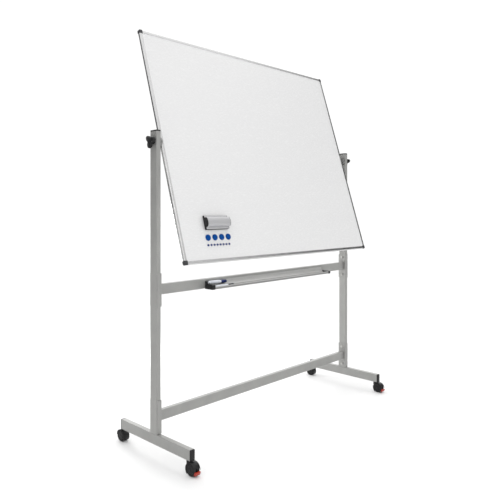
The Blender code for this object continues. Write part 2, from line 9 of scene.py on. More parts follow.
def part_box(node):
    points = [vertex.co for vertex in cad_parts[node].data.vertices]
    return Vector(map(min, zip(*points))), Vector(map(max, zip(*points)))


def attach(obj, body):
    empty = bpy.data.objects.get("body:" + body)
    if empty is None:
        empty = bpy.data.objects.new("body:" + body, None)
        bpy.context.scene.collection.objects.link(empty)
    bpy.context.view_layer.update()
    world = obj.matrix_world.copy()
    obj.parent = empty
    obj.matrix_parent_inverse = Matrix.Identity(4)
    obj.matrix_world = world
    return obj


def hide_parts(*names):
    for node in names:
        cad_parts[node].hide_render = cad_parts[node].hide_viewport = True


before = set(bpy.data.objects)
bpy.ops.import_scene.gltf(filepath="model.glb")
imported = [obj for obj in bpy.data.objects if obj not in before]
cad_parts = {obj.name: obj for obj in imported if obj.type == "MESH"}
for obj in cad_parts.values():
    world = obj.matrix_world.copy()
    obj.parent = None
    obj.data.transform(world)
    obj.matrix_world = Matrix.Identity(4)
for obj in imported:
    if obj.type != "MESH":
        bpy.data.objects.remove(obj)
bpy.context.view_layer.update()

# ---------------------------------------------------------------- camera
# Stands at chest height in front of the left foot and looks level towards the far post. The lens is
# shifted down, so that the posts stay upright. The stand's middle is a little behind the origin.
STAND_Y = 0.0031
LENS_AT = (-2.3792, -2.1479 + STAND_Y, 1.1665)
LENS_HEADING = math.radians(-46.312)
LENS_LENGTH = 40.38
LENS_SHIFT = -0.0821
SENSOR_WIDTH = 36.0
camera_data = bpy.data.cameras.new("studio_camera")
camera_data.lens = LENS_LENGTH
camera_data.sensor_width = SENSOR_WIDTH
camera_data.shift_y = LENS_SHIFT
camera_data.clip_end = 60.0
camera = bpy.data.objects.new("studio_camera", camera_data)
camera.location = LENS_AT
camera.rotation_euler = (math.radians(90), 0, LENS_HEADING)
bpy.context.scene.collection.objects.link(camera)
bpy.context.scene.camera = camera


# ---------------------------------------------------------------- stand tubes and brackets
# Rectangular steel tube and folded sheet, powder coated silver grey. The coat is a fine orange peel
# with metal flake in it, rubbed a little brighter along the edges.
def new_material(name, colour, roughness, metallic=0.0):
    material = bpy.data.materials.new(name)
    material.use_nodes = True
    shader = material.node_tree.nodes["Principled BSDF"]
    shader.inputs["Base Color"].default_value = (*colour, 1.0)
    shader.inputs["Roughness"].default_value = roughness
    shader.inputs["Metallic"].default_value = metallic
    return material


def add_node(material, kind, **properties):
    node = material.node_tree.nodes.new(kind)
    for key, value in properties.items():
        setattr(node, key, value)
    return node


def join(material, source, target):
    """Links one node's output to another's input."""
    material.node_tree.links.new(source, target)


def pattern(material, scale, stretch=(1.0, 1.0, 1.0), detail=4.0):
    """Noise on the piece's own coordinates, in features per metre."""
    place = add_node(material, "ShaderNodeTexCoord")
    mapping = add_node(material, "ShaderNodeMapping")
    mapping.inputs["Scale"].default_value = stretch
    texture = add_node(material, "ShaderNodeTexNoise")
    texture.inputs["Scale"].default_value = scale
    texture.inputs["Detail"].default_value = detail
    join(material, place.outputs["Object"], mapping.inputs["Vector"])
    join(material, mapping.outputs["Vector"], texture.inputs["Vector"])
    return texture.outputs["Fac"]


def spread(material, source, low, high, start=0.3, end=0.7):
    """Maps a 0 to 1 value to low to high."""
    node = add_node(material, "ShaderNodeMapRange")
    node.inputs["From Min"].default_value = start
    node.inputs["From Max"].default_value = end
    node.inputs["To Min"].default_value = low
    node.inputs["To Max"].default_value = high
    join(material, source, node.inputs["Value"])
    return node.outputs["Result"]


def blend_colours(material, factor, first, second):
    """Mixes two colours, each a triple or another node's output."""
    node = add_node(material, "ShaderNodeMix", data_type="RGBA")
    for socket, colour in ((node.inputs[6], first), (node.inputs[7], second)):
        if isinstance(colour, tuple):
            socket.default_value = (*colour, 1.0)
        else:
            join(material, colour, socket)
    join(material, factor, node.inputs[0])
    return node.outputs[2]


def roughen(material, height, distance):
    """Adds a bump on top of any the shader already has."""
    shader = material.node_tree.nodes["Principled BSDF"]
    bump = add_node(material, "ShaderNodeBump")
    bump.inputs["Strength"].default_value = 1.0
    bump.inputs["Distance"].default_value = distance
    join(material, height, bump.inputs["Height"])
    if shader.inputs["Normal"].links:
        join(material, shader.inputs["Normal"].links[0].from_socket, bump.inputs["Normal"])
    join(material, bump.outputs["Normal"], shader.inputs["Normal"])


def edge_wear(material, width, patchy_scale):
    """1 along worn edges and 0 elsewhere: where a bevelled normal leaves the true one."""
    bevel = add_node(material, "ShaderNodeBevel", samples=4)
    bevel.inputs["Radius"].default_value = width
    geometry = add_node(material, "ShaderNodeNewGeometry")
    dot = add_node(material, "ShaderNodeVectorMath", operation="DOT_PRODUCT")
    join(material, bevel.outputs["Normal"], dot.inputs[0])
    join(material, geometry.outputs["Normal"], dot.inputs[1])
    edge = spread(material, dot.outputs["Value"], 1.0, 0.0, 0.86, 0.995)
    patches = spread(material, pattern(material, patchy_scale), 0.15, 1.0, 0.4, 0.6)
    both = add_node(material, "ShaderNodeMath", operation="MULTIPLY")
    join(material, edge, both.inputs[0])
    join(material, patches, both.inputs[1])
    return both.outputs[0]


ROUGHNESS_SPREAD = 0.08


def finish(name, light, dark, roughness, metallic=0.0, cloud=12.0, grain=900.0, stretch=(1.0, 1.0, 1.0),
           peel=0.00002, worn=None, wear_width=0.0012, shine=0.5):
    """A finish with soft clouds of colour, a fine grain and edges rubbed to the worn colour."""
    material = new_material(name, light, roughness, metallic)
    shader = material.node_tree.nodes["Principled BSDF"]
    shader.inputs["Specular IOR Level"].default_value = shine
    clouds = pattern(material, cloud, stretch)
    colour = blend_colours(material, spread(material, clouds, 0.0, 1.0), light, dark)
    fine = pattern(material, grain, stretch, 2.0)
    colour = blend_colours(material, spread(material, fine, 0.0, 0.35), colour, dark)
    if worn:
        colour = blend_colours(material, edge_wear(material, wear_width, cloud * 4), colour, worn)
    join(material, colour, shader.inputs["Base Color"])
    rough = spread(material, fine, roughness - ROUGHNESS_SPREAD, roughness + ROUGHNESS_SPREAD)
    join(material, rough, shader.inputs["Roughness"])
    if peel:
        roughen(material, fine, peel)
    return material


def dress(material, *names):
    """Puts a material on CAD nodes."""
    for name in names:
        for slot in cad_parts[name].material_slots:
            slot.material = material


sides = ("left", "right")
coat = finish("powder_coat", (0.362, 0.362, 0.350), (0.322, 0.322, 0.313), 0.40, 0.3, grain=1400.0,
              peel=0.00003, worn=(0.56, 0.56, 0.55))
dress(coat, "upper_crossbar", "lower_crossbar")
for side in sides:
    dress(coat, f"post_{side}", f"foot_{side}", f"upper_bracket_{side}", f"lower_bracket_{side}")

# ---------------------------------------------------------------- bolts
# Zinc-plated flange bolts through the sides of the brackets into the posts, two at each end of a
# crossbar. The plating is bright, with a faint yellow cast and duller patches.
plated = finish("zinc_plate", (0.60, 0.59, 0.56), (0.48, 0.48, 0.47), 0.32, 1.0, cloud=150.0, grain=2500.0,
                worn=(0.75, 0.75, 0.74), wear_width=0.0005)
for level in ("upper", "lower"):
    for side in sides:
        dress(plated, f"{level}_bolt_{side}_top", f"{level}_bolt_{side}_bottom")

# ---------------------------------------------------------------- end caps
# Push-in caps of black plastic, one on top of each post and one in each end of a foot. They are
# moulded with a light grain and eased edges.
def finished(name, mesh, material, body, sharp=math.radians(40)):
    """Adds a piece that moves with a body, from a bmesh or a mesh already in place."""
    if isinstance(mesh, bmesh.types.BMesh):
        data = bpy.data.meshes.new(name)
        mesh.to_mesh(data)
        mesh.free()
        data.shade_smooth()
        data.set_sharp_from_angle(angle=sharp)
    else:
        data = mesh
    data.materials.clear()
    data.materials.append(material)
    piece = bpy.data.objects.new(name, data)
    bpy.context.scene.collection.objects.link(piece)
    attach(piece, body)
    return piece


def settled(piece_name, source):
    """The plain mesh of an object with its modifiers, which is then removed."""
    bpy.context.view_layer.update()
    graph = bpy.context.evaluated_depsgraph_get()
    data = bpy.data.meshes.new_from_object(source.evaluated_get(graph), preserve_all_data_layers=True,
                                           depsgraph=graph)
    data.name = piece_name
    bpy.data.objects.remove(source)
    return data


def eased_copy(name, data, width, steps=2):
    """A copy of a mesh with its edges rounded to a small radius."""
    mesh = bmesh.new()
    mesh.from_mesh(data)
    bmesh.ops.remove_doubles(mesh, verts=mesh.verts, dist=0.000005)
    bmesh.ops.dissolve_limit(mesh, angle_limit=math.radians(1.5), verts=mesh.verts, edges=mesh.edges)
    copy = bpy.data.meshes.new(name)
    mesh.to_mesh(copy)
    mesh.free()
    copy.shade_smooth()
    holder = bpy.data.objects.new(name, copy)
    bpy.context.scene.collection.objects.link(holder)
    bevel = holder.modifiers.new("eased", "BEVEL")
    bevel.width = width
    bevel.segments = steps
    bevel.limit_method = "ANGLE"
    bevel.angle_limit = math.radians(32)
    bevel.harden_normals = True
    return settled(name, holder)


def ease(node, body, material, width, steps=2):
    """Replaces a CAD node by a copy with rounded edges."""
    data = eased_copy(f"{node}_eased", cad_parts[node].data, width, steps)
    piece = finished(f"{node}_eased", data, material, body)
    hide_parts(node)


cap_plastic = finish("cap_plastic", (0.020, 0.020, 0.021), (0.012, 0.012, 0.013), 0.42, grain=1800.0,
                     peel=0.00004, worn=(0.05, 0.05, 0.05), wear_width=0.0008, shine=0.25)
for side in sides:
    for cap in (f"post_cap_{side}", f"foot_cap_front_{side}", f"foot_cap_rear_{side}"):
        ease(cap, "stand", cap_plastic, 0.0006)

# ---------------------------------------------------------------- writing sheets
# Steel sheet with white vitreous enamel, one on each side of the core. It is glossy and almost flat,
# with faint traces of wiping.
ENAMEL_CLEAN = (0.800, 0.800, 0.800)
ENAMEL_WIPED = (0.794, 0.794, 0.796)
enamel = new_material("white_enamel", (0.80, 0.81, 0.81), 0.12)
enamel_shader = enamel.node_tree.nodes["Principled BSDF"]
wiped = spread(enamel, pattern(enamel, 3.0, (1.0, 1.0, 3.0), 6.0), 0.0, 1.0)
join(enamel, blend_colours(enamel, wiped, ENAMEL_CLEAN, ENAMEL_WIPED), enamel_shader.inputs["Base Color"])
smears = pattern(enamel, 60.0, (1.0, 1.0, 8.0))
join(enamel, spread(enamel, smears, 0.22, 0.30), enamel_shader.inputs["Roughness"])
roughen(enamel, pattern(enamel, 900.0, detail=1.0), 0.000001)
dress(enamel, "front_sheet", "back_sheet")

# ---------------------------------------------------------------- board core
# Pressed fibre board, glued between the two sheets. The rails and corners cover its edges, so that
# almost none of it is ever seen.
fibre = finish("fibre_board", (0.42, 0.32, 0.21), (0.30, 0.22, 0.14), 0.9, cloud=300.0, grain=2500.0)
dress(fibre, "board_core")

# ---------------------------------------------------------------- board frame
# Extruded aluminium rails, satin anodised, pushed over the edges of the panel. Fine drawn lines run
# along their length.
def drawn_aluminium(name, light, dark, along):
    """Anodised aluminium with draw lines along one axis, given as 0, 1 or 2."""
    stretch = [1.0, 1.0, 1.0]
    stretch[along] = 0.01
    return finish(name, light, dark, 0.24, 1.0, cloud=60.0, grain=1800.0, stretch=tuple(stretch),
                  peel=0.000012, worn=(0.72, 0.72, 0.72), wear_width=0.0006)


RAIL_LIGHT = (0.70, 0.70, 0.70)
RAIL_DARK = (0.60, 0.60, 0.60)
rail_across = drawn_aluminium("rail_across", RAIL_LIGHT, RAIL_DARK, 0)
rail_upright = drawn_aluminium("rail_upright", RAIL_LIGHT, RAIL_DARK, 2)
dress(rail_across, "frame_rail_top", "frame_rail_bottom")
dress(rail_upright, "frame_rail_left", "frame_rail_right")

# ---------------------------------------------------------------- board corners
# Moulded corners of dark grey plastic, pushed over the ends of two rails each. Their edges are
# rounded and rubbed a little lighter.
corner_plastic = finish("corner_plastic", (0.060, 0.060, 0.064), (0.042, 0.042, 0.045), 0.5, grain=1500.0,
                        peel=0.00004, worn=(0.10, 0.10, 0.10), wear_width=0.0008, shine=0.25)
for level in ("top", "bottom"):
    for side in sides:
        ease(f"corner_{level}_{side}", "board", corner_plastic, 0.0008)

# ---------------------------------------------------------------- pivots
# A turned spacer disc, screwed to the side of the board, and a stud on it that passes through the
# post. Both are plated in a dull grey zinc.
pivot_zinc = finish("pivot_zinc", (0.30, 0.30, 0.29), (0.24, 0.24, 0.24), 0.42, 1.0, cloud=150.0,
                    grain=2500.0, worn=(0.5, 0.5, 0.5), wear_width=0.0006)
for side in sides:
    dress(pivot_zinc, f"pivot_{side}")

# ---------------------------------------------------------------- clamp knobs
# Three-lobed knobs in black plastic, screwed on the pivots' studs outside the posts. Each is moulded
# round a threaded insert, which a domed cap covers.
knob_plastic = finish("knob_plastic", (0.018, 0.018, 0.019), (0.011, 0.011, 0.012), 0.36, grain=1800.0,
                      peel=0.00003, worn=(0.045, 0.045, 0.045), wear_width=0.0008, shine=0.25)
PIVOT_HEIGHT = 1.4835
KNOB_CAP_RADIUS = 0.0125


def turned(profile, sides_round, centre, outward=1.0, hollow=False):
    """A solid turned about X from (x, radius) points, x outwards; a hollow one is a closed ring."""
    mesh = bmesh.new()
    rings = []
    for x, radius in profile:
        count = sides_round if radius > 0.0 else 1
        ring = []
        for number in range(count):
            angle = 2 * math.pi * number / sides_round
            ring.append(mesh.verts.new((centre[0] + outward * x, centre[1] + radius * math.cos(angle),
                                        centre[2] + radius * math.sin(angle))))
        rings.append(ring)
    if hollow:
        rings.append(rings[0])
    for low, high in zip(rings, rings[1:]):
        for number in range(sides_round):
            after = (number + 1) % sides_round
            corners = [low[number % len(low)], low[after % len(low)],
                       high[after % len(high)], high[number % len(high)]]
            mesh.faces.new(list(dict.fromkeys(corners)))
    bmesh.ops.recalc_face_normals(mesh, faces=mesh.faces)
    return mesh


for side, out in (("left", -1), ("right", 1)):
    ease(f"clamp_knob_{side}", f"knob_{side}", knob_plastic, 0.0007)
    low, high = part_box(f"clamp_knob_{side}")
    face = high[0] if out > 0 else low[0]
    rim = KNOB_CAP_RADIUS
    profile = [(-0.003, 0.0), (-0.003, rim), (-0.0009, rim), (-0.0004, rim - 0.0005),
               (-0.0002, rim * 0.8), (-0.00005, rim * 0.5), (0.0, 0.0)]
    dome = turned(profile, 40, (face, STAND_Y, PIVOT_HEIGHT), out)
    finished(f"knob_cap_{side}", dome, knob_plastic, f"knob_{side}")

# ---------------------------------------------------------------- pen tray
# A long trough in satin grey paint along the front of the upper crossbar, closed by a black plastic
# piece at each end: the left one has a tall back, the right one is low. A painted shade darkens the lip's
# lower edge.
TRAY_LIGHT = (0.54, 0.54, 0.53)
TRAY_DARK = (0.49, 0.49, 0.48)
tray_coat_and_shade = finish("tray_coat_and_shade", TRAY_LIGHT, TRAY_DARK, 0.42, 0.3, cloud=30.0, grain=1500.0, peel=0.00003,
                   worn=(0.6, 0.6, 0.6), wear_width=0.0006)
# Painted shade: the colour turns dark at the bottom of the lip and fades back to the paint over 3.5 mm
# above it, standing in for the shadow along the lip's lower edge.
TRAY_LIP_SHADE = (0.25, 0.25, 0.245)
SHADE_BOTTOM = 0.7690
SHADE_TOP = 0.7725
tray_place = add_node(tray_coat_and_shade, "ShaderNodeTexCoord")
tray_height = add_node(tray_coat_and_shade, "ShaderNodeSeparateXYZ")
join(tray_coat_and_shade, tray_place.outputs["Object"], tray_height.inputs[0])
lip_shade_share = spread(tray_coat_and_shade, tray_height.outputs["Z"], 1.0, 0.0, SHADE_BOTTOM, SHADE_TOP)
tray_shader = tray_coat_and_shade.node_tree.nodes["Principled BSDF"]
tray_paint = tray_shader.inputs["Base Color"].links[0].from_socket
tray_colour = blend_colours(tray_coat_and_shade, lip_shade_share, tray_paint, TRAY_LIP_SHADE)
join(tray_coat_and_shade, tray_colour, tray_shader.inputs["Base Color"])
dress(tray_coat_and_shade, "pen_tray")
for side in sides:
    ease(f"tray_end_{side}", "stand", cap_plastic, 0.0012, 3)

# ---------------------------------------------------------------- markers
# Two board markers that lie in the tray. Each has a white barrel, a coloured cap with grip ribs, and
# a white plug pressed into the other end.
MARKER_RADIUS = 0.0085
MARKER_LENGTH = 0.128
MARKER_CAP = 0.041
MARKER_PLUG = 0.012
MARKER_GAP = 0.0002
MARKER_SIDES = 40
TRAY_FLOOR = 0.7706            # where the middle of a marker is when it lies on the trough's floor
TRAY_FACE = STAND_Y - 0.0125   # the front of the upper crossbar
RIB_COUNT = 20
RIB_LENGTH = 0.026
RIB_WIDTH = 0.0008
RIBS_FROM_TIP = 0.018
barrel_white = finish("marker_barrel", (0.78, 0.80, 0.84), (0.70, 0.73, 0.79), 0.3, grain=900.0, cloud=60.0)
cap_navy = finish("marker_navy", (0.012, 0.030, 0.16), (0.008, 0.020, 0.11), 0.3, grain=900.0,
                  cloud=60.0, shine=0.25)
cap_black = finish("marker_black_cap", (0.014, 0.015, 0.022), (0.009, 0.010, 0.014), 0.3, grain=900.0,
                   cloud=60.0, shine=0.25)


def tree_input(tree, name, kind, value):
    socket = tree.interface.new_socket(name=name, in_out="INPUT", socket_type=kind)
    socket.default_value = value
    return socket


def make_ribbing():
    """Geometry nodes: thin ribs round a cap, from a count, a radius, a length and a rib's width."""
    tree = bpy.data.node_groups.new("grip_ribs", "GeometryNodeTree")
    tree_input(tree, "Count", "NodeSocketInt", RIB_COUNT)
    tree_input(tree, "Radius", "NodeSocketFloat", MARKER_RADIUS)
    tree_input(tree, "Length", "NodeSocketFloat", RIB_LENGTH)
    tree_input(tree, "Width", "NodeSocketFloat", RIB_WIDTH)
    tree.interface.new_socket(name="Material", in_out="INPUT", socket_type="NodeSocketMaterial")
    tree.interface.new_socket(name="Geometry", in_out="OUTPUT", socket_type="NodeSocketGeometry")
    nodes = tree.nodes
    link = tree.links.new
    given = nodes.new("NodeGroupInput")
    ring = nodes.new("GeometryNodeMeshCircle")
    size = nodes.new("ShaderNodeCombineXYZ")
    rib = nodes.new("GeometryNodeMeshCube")
    place = nodes.new("GeometryNodeInstanceOnPoints")
    aim = nodes.new("FunctionNodeAlignRotationToVector")
    aim.axis = "X"
    real = nodes.new("GeometryNodeRealizeInstances")
    paint = nodes.new("GeometryNodeSetMaterial")
    where = nodes.new("GeometryNodeInputPosition")
    out = nodes.new("NodeGroupOutput")
    link(given.outputs["Count"], ring.inputs["Vertices"])
    link(given.outputs["Radius"], ring.inputs["Radius"])
    link(given.outputs["Width"], size.inputs["X"])
    link(given.outputs["Width"], size.inputs["Y"])
    link(given.outputs["Length"], size.inputs["Z"])
    link(size.outputs["Vector"], rib.inputs["Size"])
    link(ring.outputs["Mesh"], place.inputs["Points"])
    link(rib.outputs["Mesh"], place.inputs["Instance"])
    link(where.outputs["Position"], aim.inputs["Vector"])
    link(aim.outputs["Rotation"], place.inputs["Rotation"])
    link(place.outputs["Instances"], real.inputs["Geometry"])
    link(real.outputs["Geometry"], paint.inputs["Geometry"])
    link(given.outputs["Material"], paint.inputs["Material"])
    link(paint.outputs["Geometry"], out.inputs["Geometry"])
    return tree


def grown(name, tree, **settings):
    """The plain mesh a geometry nodes tree makes; settings are its named inputs."""
    holder = bpy.data.objects.new(name, bpy.data.meshes.new(name))
    bpy.context.scene.collection.objects.link(holder)
    modifier = holder.modifiers.new("grow", "NODES")
    modifier.node_group = tree
    for item in tree.interface.items_tree:
        if item.in_out == "INPUT" and item.name in settings:
            modifier[item.identifier] = settings[item.name]
    return settled(name, holder)


ribbing = make_ribbing()


def along(start, end):
    """The matrix that lays +X from start towards end."""
    run = Vector(end) - Vector(start)
    return Matrix.Translation(start) @ run.to_track_quat("X", "Z").to_matrix().to_4x4()


def make_marker(name, body, ends, cap_material):
    """A plug, a barrel and a ribbed cap along +X, laid from the first end to the second."""
    place = along(*ends)
    r = MARKER_RADIUS
    tip = MARKER_LENGTH
    neck = MARKER_LENGTH - MARKER_CAP
    seat = MARKER_PLUG + MARKER_GAP
    shoulder = neck + 0.01
    plug = [(0.0, 0.0), (0.0, r * 0.62), (0.0012, r * 0.74), (MARKER_PLUG - 0.002, r * 0.80),
            (MARKER_PLUG, r * 0.80), (MARKER_PLUG, 0.0)]
    barrel = [(seat, 0.0), (seat, r * 0.88), (seat + 0.0006, r * 0.93), (neck - 0.008, r * 0.93),
              (neck - 0.006, r * 0.86), (shoulder, r * 0.84), (shoulder, 0.0)]
    cap = [(shoulder + MARKER_GAP, 0.0), (shoulder + MARKER_GAP, r * 0.85), (neck, r * 0.85),
           (neck, r * 0.97), (neck + 0.0006, r), (neck + 0.004, r), (neck + 0.0044, r * 0.94),
           (tip - 0.0025, r * 0.90), (tip - 0.0006, r * 0.78), (tip, r * 0.6), (tip, 0.0)]
    for part, material, profile in (("plug", barrel_white, plug), ("barrel", barrel_white, barrel),
                                    ("cap", cap_material, cap)):
        mesh = turned(profile, MARKER_SIDES, (0, 0, 0))
        mesh.transform(place)
        finished(f"{name}_{part}", mesh, material, body)
    ribs = grown(f"{name}_ribs", ribbing, Radius=r * 0.92, Length=RIB_LENGTH, Width=RIB_WIDTH,
                 Material=cap_material)
    lie_down = Matrix.Rotation(math.pi / 2, 4, "Y")
    ribs.transform(place @ Matrix.Translation((tip - RIBS_FROM_TIP, 0, 0)) @ lie_down)
    finished(f"{name}_ribs", ribs, cap_material, body)
    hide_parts(name)


in_the_trough = ((-0.4445, TRAY_FACE - 0.0440, TRAY_FLOOR + 0.0006),
                 (-0.3165, TRAY_FACE - 0.0458, TRAY_FLOOR + 0.0006))
on_the_end_piece = ((-0.466, TRAY_FACE - 0.0175, TRAY_FLOOR + 0.0231),
                    (-0.339, TRAY_FACE - 0.0120, TRAY_FLOOR + 0.0187))
make_marker("marker_black", "black_marker", in_the_trough, cap_black)
make_marker("marker_blue", "blue_marker", on_the_end_piece, cap_navy)

# ---------------------------------------------------------------- eraser
# A silver-lacquered grip with fine lines along it on a base plate, black end pieces, and a felt pad
# held to the board by magnets inside the base.
BOARD_TILT = math.radians(17.25)
BOARD_FACE = -0.006
BOARD = Matrix.Translation((0, STAND_Y, PIVOT_HEIGHT)) @ Matrix.Rotation(-BOARD_TILT, 4, "X")
ERASER_AT = (-0.510, -0.405)
ERASER_LENGTH = 0.152
ERASER_HALF_HEIGHT = 0.036
GRIP_HALF = 0.0235
GRIP_FRONT = 0.034
GRIP_SIDE = 0.0165             # how far the grip's straight sides stand out of the board
GRIP_STEPS = 40
GRIP_LINE = 0.00025            # depth of a drawn line
SHELF_FRONT = 0.0130           # where the grip meets its base
SHELF_BACK = 0.0093
END_PLATE = 0.0025
PAD_DEPTH = 0.009
PAD_ROUND = 0.001
ERASER_LIGHT = (0.58, 0.58, 0.59)
ERASER_DARK = (0.46, 0.46, 0.47)
silver = finish("eraser_silver", ERASER_LIGHT, ERASER_DARK, 0.42, 0.5, cloud=40.0, grain=1500.0,
                stretch=(0.02, 1.0, 1.0), peel=0.00003, worn=(0.6, 0.6, 0.6), wear_width=0.0006)
felt = finish("felt", (0.020, 0.020, 0.022), (0.010, 0.010, 0.011), 0.95, cloud=150.0, grain=2500.0,
              peel=0.0002)


def extruded(section, low, high):
    """A closed bar along X from a section of (out of the board, up the board) points."""
    mesh = bmesh.new()
    rows = [[mesh.verts.new((x, BOARD_FACE - out, up)) for out, up in section] for x in (low, high)]
    mesh.faces.new(rows[0])
    mesh.faces.new(list(reversed(rows[1])))
    for number in range(len(section)):
        after = (number + 1) % len(section)
        mesh.faces.new((rows[0][number], rows[1][number], rows[1][after], rows[0][after]))
    bmesh.ops.recalc_face_normals(mesh, faces=mesh.faces)
    return mesh


def on_board(mesh, u=0.0, v=0.0):
    """Moves a mesh made at the board's middle to u across and v up the leaning board."""
    mesh.transform(BOARD @ Matrix.Translation((u, 0, v)))
    return mesh


def grip_section(inset, lines):
    """The domed grip: straight sides and a curved front, with fine steps for the drawn lines."""
    half_grip = GRIP_HALF - inset
    points = [(SHELF_FRONT, -half_grip), (GRIP_SIDE, -half_grip)]
    for step in range(GRIP_STEPS + 1):
        angle = math.pi * step / GRIP_STEPS
        out = GRIP_SIDE + (GRIP_FRONT - GRIP_SIDE - inset) * math.sin(angle) ** 0.55
        ridge = GRIP_LINE if lines and step % 2 else 0.0
        points.append((out - ridge, -half_grip * math.cos(angle)))
    points += [(GRIP_SIDE, half_grip), (SHELF_FRONT, half_grip)]
    return list(dict.fromkeys(points))


half = ERASER_LENGTH / 2
grip = extruded(grip_section(0.0, True), -half + END_PLATE, half - END_PLATE)
grip_piece = finished("eraser_grip", on_board(grip, *ERASER_AT), silver, "eraser", math.radians(60))
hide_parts("eraser_cover")
for side, out in (("left", -1), ("right", 1)):
    ends = sorted((out * half, out * (half - END_PLATE)))
    plate = extruded(grip_section(0.0006, False), *ends)
    finished(f"eraser_end_{side}", on_board(plate, *ERASER_AT), cap_plastic, "eraser")
edge = ERASER_HALF_HEIGHT
shelf = edge - 0.0028
lower_half = [(SHELF_BACK, -shelf), (0.0118, -shelf), (0.0126, -shelf + 0.001),
              (SHELF_FRONT, -GRIP_HALF - 0.002)]
base_section = lower_half + [(out, -up) for out, up in reversed(lower_half)]
base = extruded(base_section, -half + END_PLATE, half - END_PLATE)
finished("eraser_base", on_board(base, *ERASER_AT), silver, "eraser")
for side, out in (("left", -1), ("right", 1)):
    ends = sorted((out * (half - 0.0001), out * (half - END_PLATE + 0.0001)))
    foot = extruded(base_section, *ends)
    finished(f"eraser_foot_{side}", on_board(foot, *ERASER_AT), cap_plastic, "eraser")

pad = bmesh.new()
bmesh.ops.create_cube(pad, size=1.0)
bmesh.ops.scale(pad, vec=(ERASER_LENGTH - 0.0025, PAD_DEPTH - 0.0006, 2 * edge - 0.0025), verts=pad.verts)
bmesh.ops.bevel(pad, geom=list(pad.edges), offset=PAD_ROUND, segments=2, profile=0.5, affect="EDGES")
bmesh.ops.translate(pad, vec=(0, BOARD_FACE - PAD_DEPTH / 2 - 0.0002, 0), verts=pad.verts)
pad_piece = finished("felt_pad", on_board(pad, *ERASER_AT), felt, "eraser")
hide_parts("eraser_pad")

# ---------------------------------------------------------------- magnets
# Round magnets in blue plastic shells: four large ones with a domed, slightly dished face, and a row
# of eight small dark blue ones under them.
MAGNETS_AT = (-0.577, -0.478)
MAGNET_PITCH = 0.0445
MAGNET_RADIUS = 0.0155
MAGNET_DEPTH = 0.007
SMALL_AT = (-0.5847, -0.515)
SMALL_PITCH = 0.01985
SMALL_RADIUS = 0.005
SMALL_DEPTH = 0.005
SMALL_COUNT = 8
magnet_blue = finish("magnet_blue", (0.0005, 0.068, 0.30), (0.0005, 0.055, 0.26), 0.45, grain=900.0,
                     cloud=80.0, worn=(0.02, 0.10, 0.40), wear_width=0.0006, shine=0.1)
small_blue = finish("small_magnet_blue", (0.0005, 0.020, 0.17), (0.0005, 0.016, 0.14), 0.45, grain=900.0,
                    cloud=80.0, shine=0.1)


def magnet_mesh(radius, depth, sides_round):
    """A domed button whose face is dished a little inside its rim, standing on the board's face."""
    profile = [(0.0002, 0.0), (0.0002, radius - 0.0004), (0.0006, radius), (depth * 0.45, radius * 0.985),
               (depth * 0.80, radius * 0.93), (depth * 0.96, radius * 0.84), (depth, radius * 0.76),
               (depth * 0.97, radius * 0.68), (depth * 0.90, radius * 0.5), (depth * 0.88, 0.0)]
    mesh = turned(profile, sides_round, (0, 0, 0))
    bmesh.ops.rotate(mesh, matrix=Matrix.Rotation(-math.pi / 2, 3, "Z"), verts=mesh.verts)
    bmesh.ops.translate(mesh, vec=(0, BOARD_FACE, 0), verts=mesh.verts)
    return mesh


for number in range(4):
    node = f"magnet_{number + 1}"
    at = (MAGNETS_AT[0] + number * MAGNET_PITCH, MAGNETS_AT[1])
    button = on_board(magnet_mesh(MAGNET_RADIUS, MAGNET_DEPTH, 48), *at)
    button_piece = finished(f"{node}_button", button, magnet_blue, f"round_magnet_{number + 1}")
    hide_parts(node)


def make_row():
    """Geometry nodes: copies of one mesh in a straight row."""
    tree = bpy.data.node_groups.new("row_of_magnets", "GeometryNodeTree")
    tree_input(tree, "Count", "NodeSocketInt", SMALL_COUNT)
    tree_input(tree, "Pitch", "NodeSocketFloat", SMALL_PITCH)
    tree.interface.new_socket(name="Magnet", in_out="INPUT", socket_type="NodeSocketObject")
    tree.interface.new_socket(name="Material", in_out="INPUT", socket_type="NodeSocketMaterial")
    tree.interface.new_socket(name="Geometry", in_out="OUTPUT", socket_type="NodeSocketGeometry")
    nodes = tree.nodes
    link = tree.links.new
    given = nodes.new("NodeGroupInput")
    row = nodes.new("GeometryNodeMeshLine")
    step = nodes.new("ShaderNodeCombineXYZ")
    shape = nodes.new("GeometryNodeObjectInfo")
    place = nodes.new("GeometryNodeInstanceOnPoints")
    real = nodes.new("GeometryNodeRealizeInstances")
    paint = nodes.new("GeometryNodeSetMaterial")
    out = nodes.new("NodeGroupOutput")
    link(given.outputs["Count"], row.inputs["Count"])
    link(given.outputs["Pitch"], step.inputs["X"])
    link(step.outputs["Vector"], row.inputs["Offset"])
    link(given.outputs["Magnet"], shape.inputs["Object"])
    link(row.outputs["Mesh"], place.inputs["Points"])
    link(shape.outputs["Geometry"], place.inputs["Instance"])
    link(place.outputs["Instances"], real.inputs["Geometry"])
    link(real.outputs["Geometry"], paint.inputs["Geometry"])
    link(given.outputs["Material"], paint.inputs["Material"])
    link(paint.outputs["Geometry"], out.inputs["Geometry"])
    return tree


small_data = bpy.data.meshes.new("small_magnet")
small_mesh = magnet_mesh(SMALL_RADIUS, SMALL_DEPTH, 24)
small_mesh.to_mesh(small_data)
small_mesh.free()
small_data.shade_smooth()
small_shape = bpy.data.objects.new("small_magnet", small_data)
bpy.context.scene.collection.objects.link(small_shape)
small_row = grown("small_magnets", make_row(), Count=SMALL_COUNT, Pitch=SMALL_PITCH, Magnet=small_shape,
                  Material=small_blue)
small_row.transform(BOARD @ Matrix.Translation((SMALL_AT[0], 0, SMALL_AT[1])))
bpy.data.objects.remove(small_shape)
finished("small_magnets", small_row, small_blue, "board")

